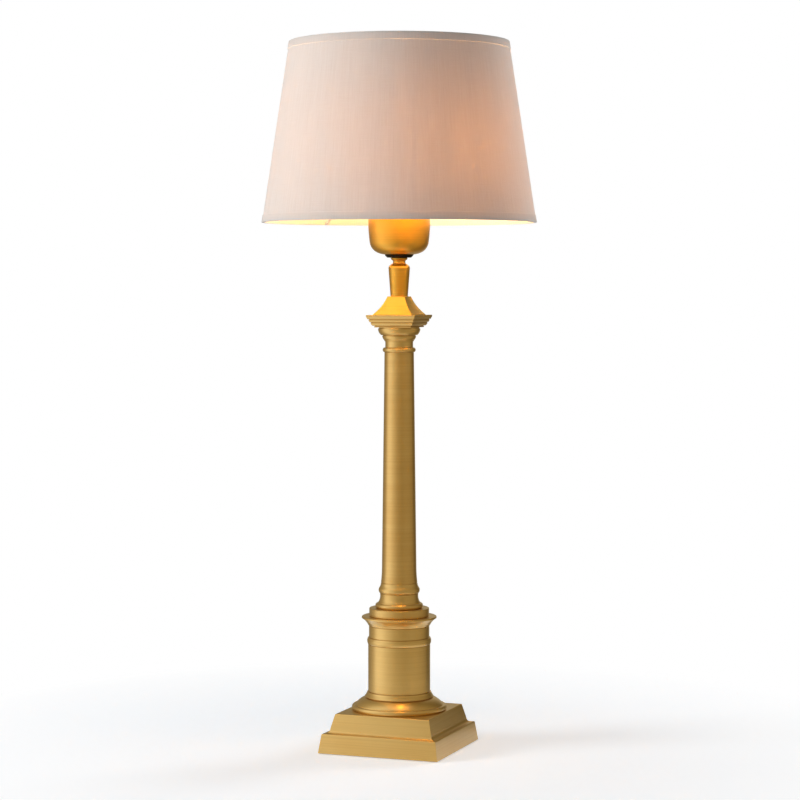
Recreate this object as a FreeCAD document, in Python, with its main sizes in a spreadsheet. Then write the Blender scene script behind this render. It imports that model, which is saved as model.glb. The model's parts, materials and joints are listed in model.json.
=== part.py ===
import FreeCAD, Part
import math
import os
import re
import Sketcher

# A brass column table lamp with a tapered drum shade. Turned and cast pieces are threaded on one
# hollow rod, from a hollow square plinth up to the cup round the lampholder, and a nut at each
# end of the rod clamps the stack. The shade's fitter ring sits on the lampholder's shoulder under
# a threaded ring. The origin is the middle of the underside, +Z is up and -Y is the front.
# Everything is in millimetres.

document = FreeCAD.newDocument("column_table_lamp")
sizes = document.addObject("Spreadsheet::Sheet", "sizes")

SIZES = {
    # hollow rod that ties the stack together, and the fits round it
    "rod_radius": 5.0,
    "rod_wall": 1.4,
    "rod_clear": 0.3,
    "thread_clear": 0.05,
    "rod_tail": 7.0,
    "rod_into_holder": 6.0,
    # square plinth: two battered tiers with a cove between, cast hollow
    "plinth_side": 137.4,
    "lower_tier_side": 131.5,
    "lower_tier_height": 20.8,
    "upper_tier_foot_side": 116.6,
    "upper_tier_side": 109.0,
    "upper_tier_height": 20.7,
    "plinth_cove": 4.6,
    "plinth_edge": 1.4,
    "plinth_wall": 3.5,
    # underside: felt, cover, its screws and bosses, ballast
    "felt_thick": 1.6,
    "felt_proud": 0.8,
    "felt_margin": 0.7,
    "cover_thick": 2.0,
    "cover_margin": 0.4,
    "boss_place": 79.0,
    "boss_radius": 4.2,
    "screw_radius": 2.0,
    "screw_head_radius": 3.8,
    "screw_length": 10.0,
    "weight_side": 100.0,
    "weight_thick": 14.0,
    "nut_flats": 14.0,
    "nut_thick": 4.0,
    "nut_washer_radius": 11.0,
    "nut_washer_thick": 1.5,
    # cord gland in the back wall of the lower tier
    "gland_height": 10.2,
    "gland_bore": 3.3,
    "gland_radius": 5.2,
    "gland_flange_radius": 7.4,
    "gland_flange": 1.4,
    "gland_inside": 3.0,
    "gland_clear": 0.1,
    # shared turning details
    "groove_width": 0.8,
    "groove_depth": 0.8,
    "spigot_height": 3.0,
    "spigot_clear": 0.15,
    "shell_wall": 2.5,
    # pedestal: foot, drum, band, cornice and cap disc
    "foot_radius": 52.2,
    "foot_height": 20.8,
    "foot_bead_height": 5.4,
    "foot_bead_bulge": 0.5,
    "foot_flare_radius": 48.0,
    "foot_flare_top_radius": 36.8,
    "foot_flare_bulge": 0.15,
    "foot_ring_radius": 38.0,
    "foot_ring_height": 6.1,
    "foot_ring_top_radius": 35.0,
    "foot_ring_hollow": 0.1,
    "drum_radius": 34.1,
    "drum_height": 51.1,
    "band_radius": 35.2,
    "band_height": 8.1,
    "band_round": 1.0,
    "frieze_radius": 33.2,
    "frieze_height": 12.2,
    "cornice_foot_radius": 33.9,
    "cornice_radius": 41.15,
    "cornice_height": 23.0,
    "cornice_rim": 1.9,
    "cornice_bulge": 0.14,
    "disc_radius": 32.9,
    "disc_height": 9.0,
    "disc_edge": 0.7,
    # column: moulded base, tapered shaft, necking ring
    "torus_radius": 26.2,
    "torus_height": 5.4,
    "torus_round": 1.6,
    "scotia_foot_radius": 23.1,
    "scotia_radius": 21.1,
    "scotia_height": 15.9,
    "scotia_hollow": 0.2,
    "column_ring_radius": 22.9,
    "column_ring_round": 1.4,
    "column_ring_top": 22.9,
    "column_ring_hollow": 0.15,
    "column_base_height": 28.2,
    "shaft_foot_radius": 20.0,
    "shaft_low_radius": 18.95,
    "shaft_flare_height": 16.0,
    "shaft_flare_hollow": 0.03,
    "shaft_top_radius": 16.1,
    "shaft_height": 252.6,
    "shaft_bore": 13.2,
    "necking_radius": 18.1,
    "necking_round": 1.8,
    "necking_height": 5.1,
    # capital: round echinus, square moulded abacus, concave four-sided cap
    "capital_neck_radius": 15.3,
    "capital_neck_height": 6.9,
    "capital_neck_hollow": 0.03,
    "capital_fillet_radius": 16.2,
    "capital_fillet_height": 1.0,
    "lower_ovolo_radius": 18.6,
    "lower_ovolo_height": 4.9,
    "lower_ovolo_bulge": 0.2,
    "upper_ovolo_foot_radius": 19.7,
    "upper_ovolo_radius": 23.1,
    "upper_ovolo_height": 7.2,
    "upper_ovolo_bulge": 0.25,
    "capital_height": 22.1,
    "abacus_side": 56.4,
    "abacus_foot_side": 42.6,
    "abacus_foot_height": 1.2,
    "lower_band_foot_side": 45.2,
    "lower_band_side": 48.8,
    "lower_band_height": 3.2,
    "upper_band_foot_side": 49.8,
    "upper_band_side": 52.2,
    "upper_band_height": 2.8,
    "abacus_band_bulge": 0.15,
    "fascia_foot_side": 54.2,
    "fascia_height": 2.6,
    "fascia_hollow": 0.1,
    "abacus_height": 13.5,
    "abacus_groove": 0.6,
    "cap_foot_side": 45.0,
    "cap_lip": 0.6,
    "cap_top_side": 20.2,
    "cap_height": 20.2,
    "cap_hollow": 0.12,
    # candle neck, collar and cup
    "neck_foot_radius": 9.45,
    "neck_radius": 11.7,
    "neck_body_height": 30.5,
    "neck_shoulder_height": 2.4,
    "neck_shoulder_radius": 11.1,
    "neck_shoulder_bulge": 0.15,
    "neck_top_bulge": 0.1,
    "neck_height": 36.0,
    "collar_foot_radius": 7.1,
    "collar_waist_radius": 6.8,
    "collar_radius": 9.0,
    "collar_waist_foot": 1.9,
    "collar_waist_top": 2.8,
    "collar_shoulder": 4.5,
    "collar_height": 6.3,
    "collar_hollow": 0.1,
    "collar_bulge": 0.3,
    "cup_washer_radius": 15.6,
    "cup_washer_foot_radius": 13.2,
    "cup_washer_height": 3.4,
    "cup_washer_rim": 0.8,
    "cup_seat_radius": 16.0,
    "cup_floor_radius": 24.3,
    "cup_floor_height": 2.3,
    "cup_belly_radius": 32.2,
    "cup_belly_height": 13.3,
    "cup_radius": 33.9,
    "cup_height": 45.8,
    "cup_wall": 1.2,
    "cup_floor_bulge": 0.09,
    "cup_belly_bulge": 0.25,
    "cup_side_bulge": 0.038,
    "cup_nut_thick": 4.1,
    # lampholder
    "holder_radius": 21.0,
    "holder_wall": 2.0,
    "holder_boss_radius": 8.0,
    "holder_boss_height": 5.0,
    "holder_boss_hollow": 0.2,
    "holder_foot_bulge": 0.3,
    "holder_cap_height": 20.0,
    "holder_seat_radius": 23.0,
    "holder_seat_height": 43.0,
    "holder_seat_thick": 2.0,
    "holder_thread_radius": 19.6,
    "holder_height": 58.0,
    "holder_mouth_radius": 15.6,
    "core_radius": 18.4,
    "core_thick": 7.0,
    "core_step_radius": 12.4,
    "core_step_height": 2.0,
    "screw_shell_radius": 13.9,
    "screw_shell_wall": 0.45,
    "screw_shell_height": 21.0,
    "contact_width": 6.0,
    "contact_length": 15.0,
    "contact_thick": 0.5,
    "contact_rise": 2.4,
    "contact_bulge": 0.1,
    "terminal_place": 16.2,
    "terminal_radius": 1.9,
    "terminal_height": 1.6,
    # candle bulb with an Edison screw cap
    "bulb_gap": 0.3,
    "bulb_cap_radius": 13.05,
    "bulb_cap_height": 21.5,
    "bulb_cap_wall": 0.4,
    "bulb_button_radius": 4.6,
    "bulb_button_face": 2.8,
    "bulb_button_bulge": 0.3,
    "bulb_button_height": 1.5,
    "bulb_insulator_height": 4.2,
    "bulb_insulator_bulge": 0.1,
    "bulb_neck_radius": 12.5,
    "bulb_radius": 17.5,
    "bulb_belly_height": 33.0,
    "bulb_shoulder_height": 19.0,
    "bulb_shoulder_radius": 12.8,
    "bulb_height": 76.0,
    "bulb_tip_radius": 2.0,
    "bulb_pip_radius": 0.4,
    "bulb_wall": 0.8,
    "bulb_stem_radius": 4.0,
    "bulb_stem_height": 26.0,
    "filament_radius": 0.6,
    "filament_span": 7.0,
    "filament_bulge": 0.9,
    # shade: wires, liner, cover and turned edges
    "shade_radius": 150.0,
    "shade_top_radius": 120.1,
    "shade_height": 195.6,
    "shade_cover": 0.6,
    "shade_liner": 0.6,
    "trim_thick": 0.6,
    "trim_band": 8.2,
    "trim_inner_band": 6.0,
    "wire_radius": 1.0,
    "wire_clear": 0.05,
    # fitter: ring on the lampholder, three spokes down to the lower wire, threaded ring
    "seat_gap": 0.3,
    "fitter_drop": 13.9,
    "fitter_radius": 29.0,
    "fitter_bore": 20.6,
    "fitter_thick": 1.5,
    "spoke_radius": 1.3,
    "spoke_bend_place": 131.0,
    "spoke_foot_place": 143.0,
    "spoke_bend_radius": 5.0,
    "spoke_angle": 25.0,
    "weld_gap": 0.05,
    "notch_clear": 0.4,
    "ring_clear": 0.15,
    "ring_radius": 23.6,
    "ring_flange_radius": 28.0,
    "ring_flange_thick": 2.2,
    "ring_height": 9.0,
}

for row, (name, size) in enumerate(SIZES.items(), start=1):
    sizes.set(f"A{row}", name)
    sizes.set(f"B{row}", str(size))
    sizes.setAlias(f"B{row}", name)
document.recompute()

# Seats in the stack, from the table up: each is the one below plus that piece's height.
PLINTH_FOOT = "felt_thick - felt_proud"
PLINTH_TOP = f"{PLINTH_FOOT} + lower_tier_height + upper_tier_height"
PLINTH_CEILING = f"{PLINTH_TOP} - plinth_wall"
FOOT_TOP = f"{PLINTH_TOP} + foot_height"
DRUM_TOP = f"{FOOT_TOP} + drum_height"
BAND_TOP = f"{DRUM_TOP} + band_height"
CORNICE_TOP = f"{BAND_TOP} + cornice_height"
DISC_TOP = f"{CORNICE_TOP} + disc_height"
COLUMN_BASE_TOP = f"{DISC_TOP} + column_base_height"
SHAFT_TOP = f"{COLUMN_BASE_TOP} + shaft_height"
NECKING_TOP = f"{SHAFT_TOP} + necking_height"
CAPITAL_TOP = f"{NECKING_TOP} + capital_height"
ABACUS_TOP = f"{CAPITAL_TOP} + abacus_height"
CAP_TOP = f"{ABACUS_TOP} + cap_height"
NECK_TOP = f"{CAP_TOP} + neck_height"
COLLAR_TOP = f"{NECK_TOP} + collar_height"
WASHER_TOP = f"{COLLAR_TOP} + cup_washer_height"
CUP_NUT_FOOT = f"{WASHER_TOP} + cup_wall"
HOLDER_FOOT = f"{CUP_NUT_FOOT} + cup_nut_thick"
SHADE_SEAT = f"{HOLDER_FOOT} + holder_seat_height + seat_gap"
SHADE_FOOT = f"{SHADE_SEAT} - fitter_drop"

# Fits shared by several pieces.
ROD_HOLE = "rod_radius + rod_clear"
ROD_THREAD = "rod_radius + thread_clear"
CORE_FOOT = "holder_cap_height - core_thick + core_step_height"
CORE_TOP = f"{CORE_FOOT} + core_thick"

WORD = re.compile(r"[a-z][a-z_]*")
pieces = []


def tied(expression):
    """The expression with each size's name pointed at its cell in the sheet."""
    return WORD.sub(lambda found: f"sizes.{found[0]}" if found[0] in SIZES else found[0], expression)


def number(expression):
    """What an expression comes to with the sheet's sizes."""
    result = sizes.evalExpression(tied(expression))
    return float(getattr(result, "Value", result))


def finished(piece, name, seat="0"):
    """Names a piece and lifts it to its seat in the stack."""
    piece.Label = name
    piece.setExpression("Placement.Base.z", tied(seat))
    pieces.append(piece)
    return piece


def arc_through(start, end, bulge):
    """The arc from start to end whose rise over half its chord is bulge, positive to the left."""
    chord = end - start
    left = FreeCAD.Vector(-chord.y, chord.x, 0).normalize()
    half = chord.Length / 2
    radius = half * (1 + bulge**2) / (2 * abs(bulge))
    rise = half * abs(bulge)
    centre = (start + end) / 2 + left * (rise - radius) * math.copysign(1, bulge)
    first, last = (end, start) if bulge > 0 else (start, end)
    from_angle = math.atan2(first.y - centre.y, first.x - centre.x)
    to_angle = math.atan2(last.y - centre.y, last.x - centre.x)
    if to_angle < from_angle:
        to_angle += 2 * math.pi
    circle = Part.Circle(centre, FreeCAD.Vector(0, 0, 1), radius)
    return Part.ArcOfCircle(circle, from_angle, to_angle)


def outline(sketch, points, closed=True):
    """Draws points, given as (across, up) expressions, as a chain of lines tied to the sheet. A
    third entry bends the side that leaves its point: the rise over half the chord."""
    places = [FreeCAD.Vector(number(point[0]), number(point[1]), 0) for point in points]
    sides = len(points) if closed else len(points) - 1
    ends = []
    for side in range(sides):
        start = places[side]
        end = places[(side + 1) % len(points)]
        bulge = number(points[side][2]) if len(points[side]) > 2 else 0
        curve = arc_through(start, end, bulge) if bulge else Part.LineSegment(start, end)
        sketch.addGeometry(curve, False)
        ends.append((2, 1) if bulge > 0 else (1, 2))

    def tie(kind, side, corner, at, expression):
        index = sketch.addConstraint(Sketcher.Constraint(kind, side, corner, at))
        sketch.setExpression(f"Constraints[{index}]", tied(expression))

    for side in range(sides):
        tie("DistanceX", side, ends[side][0], places[side].x, points[side][0])
        tie("DistanceY", side, ends[side][0], places[side].y, points[side][1])
        if closed or side < sides - 1:
            following = (side + 1) % sides
            joint = Sketcher.Constraint("Coincident", side, ends[side][1], following, ends[following][0])
            sketch.addConstraint(joint)
        else:
            tie("DistanceX", side, ends[side][1], places[side + 1].x, points[side + 1][0])
            tie("DistanceY", side, ends[side][1], places[side + 1].y, points[side + 1][1])
        if len(points[side]) > 2:
            (x_one, y_one, bulge), (x_two, y_two) = points[side], points[(side + 1) % len(points)][:2]
            chord = f"sqrt((({x_two}) - ({x_one}))^2 + (({y_two}) - ({y_one}))^2)"
            radius = f"{chord} * (1 + ({bulge})^2) / (4 * abs({bulge}))"
            index = sketch.addConstraint(Sketcher.Constraint("Radius", side, number(radius)))
            sketch.setExpression(f"Constraints[{index}]", tied(radius))
    return sketch


def origin_plane(body, role):
    """One of a body's own origin planes."""
    return next(plane for plane in body.Origin.OriginFeatures if plane.Role == role)


def section(body, name, role, points, out=None, closed=True):
    """A sketch on one of the body's origin planes, shifted out along it where asked."""
    sketch = body.newObject("Sketcher::SketchObject", f"{name}_section")
    sketch.AttachmentSupport = [(origin_plane(body, role), "")]
    sketch.MapMode = "FlatFace"
    if out:
        sketch.setExpression("AttachmentOffset.Base.x", tied(out))
    return outline(sketch, points, closed)


def spun(body, name, points, out=None, kind="Revolution"):
    """A half section, drawn as (radius, height), spun a full turn about its upright axis."""
    feature = body.newObject(f"PartDesign::{kind}", name)
    feature.Profile = section(body, name, "XZ_Plane", points, out)
    feature.ReferenceAxis = (feature.Profile[0], ["V_Axis"])
    feature.Angle = 360
    body.Tip = feature
    return feature


def padded(body, name, points, thickness):
    """A flat outline on the body's ground plane, raised by a thickness."""
    feature = body.newObject("PartDesign::Pad", name)
    feature.Profile = section(body, name, "XY_Plane", points)
    feature.setExpression("Length", tied(thickness))
    body.Tip = feature
    return feature


def new_body(name):
    """An empty body that may hold several separate solids."""
    body = document.addObject("PartDesign::Body", f"{name}_body")
    body.AllowCompound = True
    return body


def turned(name, points, seat="0"):
    """A round piece in one body, finished at its seat."""
    body = new_body(name)
    spun(body, f"{name}_spin", points)
    return finished(body, name, seat)


def polar(body, name, feature, copies):
    """Repeats a feature evenly about the upright axis."""
    upright = next(axis for axis in body.Origin.OriginFeatures if axis.Role == "Z_Axis")
    pattern = body.newObject("PartDesign::PolarPattern", name)
    pattern.Originals = [feature]
    pattern.Axis = (upright, [""])
    pattern.Angle = 360
    pattern.Occurrences = copies
    body.Tip = pattern
    return pattern


def squared(name, points):
    """A four-sided moulding: one (half side, height) profile seen from the front and from the side.
    Each view is run right through, and what both share has mitred corners."""
    mirrored = [points[0][:2]]
    for point, following in zip(reversed(points[:-1]), reversed(points[1:])):
        mirrored.append((f"-({following[0]})", following[1], *point[2:]))
    left_foot = (f"-({points[0][0]})", points[0][1])
    right_side = list(points)
    left_side = [*mirrored[1:], left_foot]
    runs = []
    for view, turn in (("front", 0), ("side", 90)):
        sketch = document.addObject("Sketcher::SketchObject", f"{name}_{view}")
        upright = FreeCAD.Rotation(FreeCAD.Vector(1, 0, 0), 90)
        about = FreeCAD.Rotation(FreeCAD.Vector(0, 0, 1), turn)
        sketch.Placement = FreeCAD.Placement(FreeCAD.Vector(), about.multiply(upright))
        outline(sketch, right_side + left_side)
        run = document.addObject("Part::Extrusion", f"{name}_{view}_run")
        run.Base = sketch
        run.DirMode = "Normal"
        run.Solid = True
        run.Symmetric = True
        run.setExpression("LengthFwd", tied(f"4 * ({points[0][0]})"))
        runs.append(run)
    common = document.addObject("Part::Common", f"{name}_moulding")
    common.Base, common.Tool = runs
    return common


def cylinder(name, radius, length, low="0"):
    """A plain upright cylinder about the stack's axis."""
    solid = document.addObject("Part::Cylinder", name)
    solid.setExpression("Radius", tied(radius))
    solid.setExpression("Height", tied(length))
    solid.setExpression("Placement.Base.z", tied(low))
    return solid


def cut(name, base, tool):
    """One solid less another."""
    result = document.addObject("Part::Cut", name)
    result.Base = base
    result.Tool = tool
    return result


def square_points(side):
    """A square about the origin."""
    half = f"{side} / 2"
    return [(half, f"-({half})"), (half, half), (f"-({half})", half), (f"-({half})", f"-({half})")]


def hexagon_points(flats):
    """A hexagon about the origin, given its width across flats."""
    corner = f"{flats} / sqrt(3)"
    return [(f"{corner} * cos({60 * k} deg)", f"{corner} * sin({60 * k} deg)") for k in range(6)]


def ring_points(inner, outer, height):
    """The half section of a plain ring."""
    return [(inner, "0"), (outer, "0"), (outer, height), (inner, height)]


# Bulges of a quarter round and a quarter hollow, on an outside drawn from the bottom up.
ROUND = "-tan(22.5 deg)"
HOLLOW = "tan(22.5 deg)"

# --- Plinth: one hollow casting, two battered tiers joined by a cove, with four screw bosses.
TIER_SHOULDER = "lower_tier_height - plinth_edge"
TIER_TOP = "lower_tier_height + upper_tier_height"
plinth_outside = squared("plinth_outside", [
    ("plinth_side / 2", "0"),
    ("lower_tier_side / 2", TIER_SHOULDER, ROUND),
    ("lower_tier_side / 2 - plinth_edge", "lower_tier_height"),
    ("upper_tier_foot_side / 2 + plinth_cove", "lower_tier_height", HOLLOW),
    ("upper_tier_foot_side / 2", "lower_tier_height + plinth_cove"),
    ("upper_tier_side / 2", f"{TIER_TOP} - plinth_edge", ROUND),
    ("upper_tier_side / 2 - plinth_edge", TIER_TOP),
])
plinth_inside = squared("plinth_inside", [
    ("plinth_side / 2 - plinth_wall", "0"),
    ("lower_tier_side / 2 - plinth_wall", "lower_tier_height - plinth_wall"),
    ("upper_tier_foot_side / 2 - plinth_wall", "lower_tier_height - plinth_wall"),
    ("upper_tier_side / 2 - plinth_wall", f"{TIER_TOP} - plinth_wall"),
])
plinth_shell = cut("plinth_shell", plinth_outside, plinth_inside)

BOSS_FOOT = "felt_proud + cover_thick"
BOSS_TOP = "lower_tier_height - plinth_wall / 2"
SCREW_HOLE = "screw_radius + thread_clear"
SCREW_HOLE_TOP = f"{BOSS_FOOT} + screw_length"
boss_body = new_body("plinth_boss")
boss = spun(boss_body, "plinth_boss", [
    (SCREW_HOLE, BOSS_FOOT),
    ("boss_radius", BOSS_FOOT),
    ("boss_radius", BOSS_TOP),
    ("0", BOSS_TOP),
    ("0", SCREW_HOLE_TOP),
    (SCREW_HOLE, SCREW_HOLE_TOP),
], out="boss_place")
polar(boss_body, "plinth_bosses", boss, 4)
boss_body.Placement.Rotation = FreeCAD.Rotation(FreeCAD.Vector(0, 0, 1), 45)
plinth_solid = document.addObject("Part::Fuse", "plinth_solid")
plinth_solid.Base = plinth_shell
plinth_solid.Tool = boss_body
plinth_bored = cut("plinth_bored", plinth_solid, cylinder("plinth_rod_hole", ROD_HOLE, TIER_TOP))

# The gland stands square to the battered back wall, so its hole leans with that wall.
WALL_SLOPE = "(plinth_side - lower_tier_side) / 2 / lower_tier_height"
GLAND_OUT = f"plinth_side / 2 - gland_height * {WALL_SLOPE}"


def on_back_wall(solid, low):
    """Turns an upright solid to point out of the back wall at the gland's place."""
    solid.Placement = FreeCAD.Placement(FreeCAD.Vector(), FreeCAD.Rotation(FreeCAD.Vector(1, 0, 0), -90))
    solid.setExpression("Placement.Rotation.Angle", tied(f"atan({WALL_SLOPE}) - 90 deg"))
    solid.setExpression("Placement.Base.y", tied(GLAND_OUT))
    solid.setExpression("Placement.Base.z", tied(low))


gland_drill = cylinder("gland_drill", "gland_radius + gland_clear", "4 * plinth_wall", "-2 * plinth_wall")
gland_hole = document.addObject("Part::Compound", "gland_hole")
gland_hole.Links = [gland_drill]
on_back_wall(gland_hole, "gland_height")
plinth = cut("plinth", plinth_bored, gland_hole)
finished(plinth, "base_plinth", PLINTH_FOOT)

# Rubber gland: a barrel through the wall with a flange against its outer face.
gland = turned("cord_gland", [
    ("gland_bore", "-(plinth_wall + gland_inside)"),
    ("gland_radius", "-(plinth_wall + gland_inside)"),
    ("gland_radius", "0"),
    ("gland_flange_radius", "0"),
    ("gland_flange_radius", "gland_flange / 2", ROUND),
    ("gland_flange_radius - gland_flange / 2", "gland_flange"),
    ("gland_bore", "gland_flange"),
])
on_back_wall(gland, f"{PLINTH_FOOT} + gland_height")

# --- Underside: the felt is glued to a steel cover that four countersunk screws hold.
INNER_SIDE = f"plinth_side - 2 * plinth_wall - 2 * felt_thick * {WALL_SLOPE}"
felt = new_body("base_felt")
padded(felt, "felt_pad", square_points(f"({INNER_SIDE} - 2 * felt_margin)"), "felt_thick")
finished(felt, "base_felt")

# The cover is drawn a turn of 45 degrees away, so that its four screw holes are a plain ring.
cover = new_body("base_cover")
CORNER = f"({INNER_SIDE} - 2 * cover_margin) / sqrt(2)"
diamond = [(CORNER, "0"), ("0", CORNER), (f"-{CORNER}", "0"), ("0", f"-{CORNER}")]
padded(cover, "cover_plate", diamond, "cover_thick")
sink = spun(cover, "cover_sink", [
    ("0", "0"),
    ("screw_head_radius + thread_clear", "0"),
    (SCREW_HOLE, "screw_head_radius - screw_radius"),
    (SCREW_HOLE, "cover_thick"),
    ("0", "cover_thick"),
], out="boss_place", kind="Groove")
polar(cover, "cover_sinks", sink, 4)
cover.Placement.Rotation = FreeCAD.Rotation(FreeCAD.Vector(0, 0, 1), 45)
finished(cover, "base_cover", "felt_thick")

screws = new_body("cover_screws")
screw = spun(screws, "cover_screw", [
    ("0", "0"),
    ("screw_head_radius", "0"),
    ("screw_radius", "screw_head_radius - screw_radius"),
    ("screw_radius", "screw_length"),
    ("0", "screw_length"),
], out="boss_place")
polar(screws, "cover_screw_set", screw, 4)
screws.Placement.Rotation = FreeCAD.Rotation(FreeCAD.Vector(0, 0, 1), 45)
finished(screws, "cover_screws", "felt_thick")

# --- Ballast against the ceiling of the upper tier, with the rod's lower washer and nut under it.
weight = new_body("base_weight")
padded(weight, "weight_block", square_points("weight_side"), "weight_thick")
spun(weight, "weight_bore", ring_points("0", ROD_HOLE, "weight_thick"), kind="Groove")
finished(weight, "base_weight", f"{PLINTH_CEILING} - weight_thick")

WASHER_FOOT = f"{PLINTH_CEILING} - weight_thick - nut_washer_thick"
NUT_FOOT = f"{WASHER_FOOT} - nut_thick"
turned("rod_washer", ring_points(ROD_HOLE, "nut_washer_radius", "nut_washer_thick"), WASHER_FOOT)


def hexagon_nut(name, thickness, seat):
    """A hexagon nut on the rod's thread."""
    nut = new_body(name)
    padded(nut, f"{name}_hexagon", hexagon_points("nut_flats"), thickness)
    spun(nut, f"{name}_bore", ring_points("0", ROD_THREAD, thickness), kind="Groove")
    return finished(nut, name, seat)


hexagon_nut("rod_nut", "nut_thick", NUT_FOOT)

ROD_FOOT = f"{NUT_FOOT} - rod_tail"
turned(
    "threaded_rod",
    ring_points("rod_radius - rod_wall", "rod_radius", f"{HOLDER_FOOT} + rod_into_holder - ({ROD_FOOT})"),
    ROD_FOOT,
)

# --- Pedestal. The foot is cast hollow; its spigot centres the drum.
BEAD_END = "foot_radius - foot_bead_bulge * foot_bead_height / 2"
FLARE_FOOT = "foot_bead_height + groove_width"
FLARE_TOP = "foot_height - foot_ring_height - groove_width"
FOOT_RING_LOW = "foot_height - foot_ring_height"
DRUM_INSIDE = "drum_radius - shell_wall"
turned("pedestal_foot", [
    (BEAD_END, "0", "-foot_bead_bulge"),
    (BEAD_END, "foot_bead_height"),
    ("foot_flare_radius", "foot_bead_height"),
    ("foot_flare_radius", FLARE_FOOT, "-foot_flare_bulge"),
    ("foot_flare_top_radius", FLARE_TOP),
    ("foot_flare_top_radius - groove_depth", FLARE_TOP),
    ("foot_flare_top_radius - groove_depth", FOOT_RING_LOW),
    ("foot_ring_radius", FOOT_RING_LOW, "foot_ring_hollow"),
    ("foot_ring_top_radius", "foot_height - groove_width"),
    ("drum_radius - groove_depth", "foot_height - groove_width"),
    ("drum_radius - groove_depth", "foot_height"),
    (f"{DRUM_INSIDE} - spigot_clear", "foot_height"),
    (f"{DRUM_INSIDE} - spigot_clear", "foot_height + spigot_height"),
    (ROD_HOLE, "foot_height + spigot_height"),
    (ROD_HOLE, "foot_height - shell_wall"),
    (f"{DRUM_INSIDE} - 2 * shell_wall", "foot_height - shell_wall"),
    (f"{BEAD_END} - 2 * shell_wall", "0"),
], PLINTH_TOP)

turned("pedestal_drum", ring_points(DRUM_INSIDE, "drum_radius", "drum_height"), FOOT_TOP)

# The band's spigots centre the drum below it and the cornice above it.
BAND_END = "band_radius - band_round"
FRIEZE_INSIDE = "frieze_radius - shell_wall"
turned("drum_band", [
    (ROD_HOLE, "-spigot_height"),
    (f"{DRUM_INSIDE} - spigot_clear", "-spigot_height"),
    (f"{DRUM_INSIDE} - spigot_clear", "0"),
    ("drum_radius - groove_depth / 2", "0"),
    ("drum_radius - groove_depth / 2", "groove_width / 2"),
    (BAND_END, "groove_width / 2", "-2 * band_round / (band_height - groove_width)"),
    (BAND_END, "band_height - groove_width / 2"),
    ("frieze_radius - groove_depth / 2", "band_height - groove_width / 2"),
    ("frieze_radius - groove_depth / 2", "band_height"),
    (f"{FRIEZE_INSIDE} - spigot_clear", "band_height"),
    (f"{FRIEZE_INSIDE} - spigot_clear", "band_height + spigot_height"),
    (ROD_HOLE, "band_height + spigot_height"),
], DRUM_TOP)

RIM_FOOT = "cornice_height - cornice_rim"
turned("pedestal_cornice", [
    (FRIEZE_INSIDE, "0"),
    ("frieze_radius", "0"),
    ("frieze_radius", "frieze_height"),
    ("frieze_radius - groove_depth", "frieze_height"),
    ("frieze_radius - groove_depth", "frieze_height + groove_width"),
    ("cornice_foot_radius", "frieze_height + groove_width", "cornice_bulge"),
    ("cornice_radius - cornice_rim / 2", f"{RIM_FOOT} - cornice_rim / 4"),
    ("cornice_radius", RIM_FOOT),
    ("cornice_radius", "cornice_height - cornice_rim / 2", ROUND),
    ("cornice_radius - cornice_rim / 2", "cornice_height"),
    (ROD_HOLE, "cornice_height"),
    (ROD_HOLE, "cornice_height - shell_wall"),
    (FRIEZE_INSIDE, "cornice_height - shell_wall"),
], BAND_TOP)

turned("cap_disc", [
    (ROD_HOLE, "0"),
    ("disc_radius - disc_edge", "0"),
    ("disc_radius", "disc_edge"),
    ("disc_radius", "disc_height - disc_edge", ROUND),
    ("disc_radius - disc_edge", "disc_height"),
    (ROD_HOLE, "disc_height"),
], CORNICE_TOP)

# --- Column: attic base with a torus, a scotia and a ring, then the tapered tube of the shaft.
TORUS_END = "torus_radius - torus_round"
COLUMN_RING_LOW = "scotia_height + groove_width"
COLUMN_RING_END = "column_ring_radius - column_ring_round"
turned("column_base", [
    (ROD_HOLE, "0"),
    (TORUS_END, "0", "-2 * torus_round / torus_height"),
    (TORUS_END, "torus_height"),
    ("scotia_foot_radius", "torus_height"),
    ("scotia_foot_radius", "torus_height + groove_width", "scotia_hollow"),
    ("scotia_radius", "scotia_height"),
    ("scotia_radius - groove_depth", "scotia_height"),
    ("scotia_radius - groove_depth", COLUMN_RING_LOW),
    (COLUMN_RING_END, COLUMN_RING_LOW, f"-2 * column_ring_round / (column_ring_top - {COLUMN_RING_LOW})"),
    (COLUMN_RING_END, "column_ring_top", "column_ring_hollow"),
    ("shaft_foot_radius + groove_depth / 4", "column_base_height - groove_width"),
    ("shaft_foot_radius - groove_depth / 2", "column_base_height - groove_width"),
    ("shaft_foot_radius - groove_depth / 2", "column_base_height"),
    ("shaft_bore - spigot_clear", "column_base_height"),
    ("shaft_bore - spigot_clear", "column_base_height + spigot_height"),
    (ROD_HOLE, "column_base_height + spigot_height"),
], DISC_TOP)

turned("column_shaft", [
    ("shaft_bore", "0"),
    ("shaft_foot_radius", "0", "shaft_flare_hollow"),
    ("shaft_low_radius", "shaft_flare_height"),
    ("shaft_top_radius", "shaft_height"),
    ("shaft_bore", "shaft_height"),
], COLUMN_BASE_TOP)

turned("necking_ring", [
    (ROD_HOLE, "-spigot_height"),
    ("shaft_bore - spigot_clear", "-spigot_height"),
    ("shaft_bore - spigot_clear", "0"),
    ("necking_radius - necking_round", "0", "-2 * necking_round / necking_height"),
    ("necking_radius - necking_round", "necking_height"),
    (ROD_HOLE, "necking_height"),
], SHAFT_TOP)

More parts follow.
